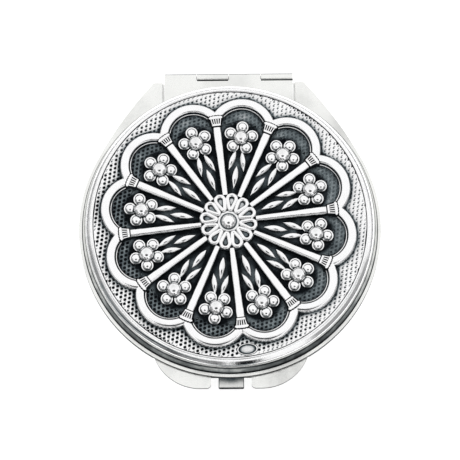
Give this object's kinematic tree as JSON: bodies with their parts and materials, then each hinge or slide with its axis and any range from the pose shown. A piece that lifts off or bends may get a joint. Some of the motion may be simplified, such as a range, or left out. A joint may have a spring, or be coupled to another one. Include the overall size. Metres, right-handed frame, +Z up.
{
  "type": "folding compact mirror",
  "caption": "Round folding pocket mirror: hinged lid with an embossed metal plaque, a mirror in each half and a front push latch.",
  "frame": {"origin": "centre of the base's flat bottom, on the surface that the closed mirror rests on", "axes": "+Z up through the lid, +Y towards the hinge, X along the hinge pin, the latch button faces -Y"},
  "size_m": [0.0694, 0.0744, 0.0135],
  "materials": {
    "satin_silver": "satin silver plate, slightly warm",
    "polished_silver": "polished silver, oxidised dark in its recesses",
    "latch_steel": "bare steel",
    "mirror_glass": "silvered mirror glass",
    "backing_foam": "black self-adhesive foam",
    "resin_filler": "cast resin"
  },
  "bodies": {
    "base": {"base_shell": "satin_silver", "base_plate": "satin_silver", "base_hinge_leaf": "satin_silver", "base_leaf_rivet_left": "satin_silver", "base_leaf_rivet_right": "satin_silver", "hinge_pin": "latch_steel", "base_mirror_pad": "backing_foam", "base_mirror": "mirror_glass", "base_mirror_bezel": "satin_silver", "latch_guide": "latch_steel", "latch_guide_rivet_left": "latch_steel", "latch_guide_rivet_right": "latch_steel", "latch_spring": "latch_steel"},
    "lid": {"lid_plate": "satin_silver", "lid_cup": "satin_silver", "lid_hinge_leaf": "satin_silver", "lid_leaf_rivet_left": "satin_silver", "lid_leaf_rivet_right": "satin_silver", "lid_catch": "latch_steel", "lid_catch_rivet_left": "latch_steel", "lid_catch_rivet_right": "latch_steel", "lid_mirror_pad": "backing_foam", "lid_mirror": "mirror_glass", "lid_mirror_bezel": "satin_silver", "plaque_filler": "resin_filler", "embossed_plaque": "polished_silver"},
    "latch": {"latch_button": "satin_silver", "latch_bolt": "latch_steel"}
  },
  "joints": [
    {"name": "lid_hinge", "type": "hinge", "parent": "base", "child": "lid", "pos_m": [0, 0.0365, 0.0052], "axis": [-1, 0, 0], "range_deg": [0, 165]},
    {"name": "latch_press", "type": "slide", "parent": "base", "child": "latch", "axis": [0, 1, 0], "range_m": [0, 0.0007], "stiffness_N_per_m": 400, "springref_m": -0.001, "deforming": ["latch_spring"]}
  ]
}
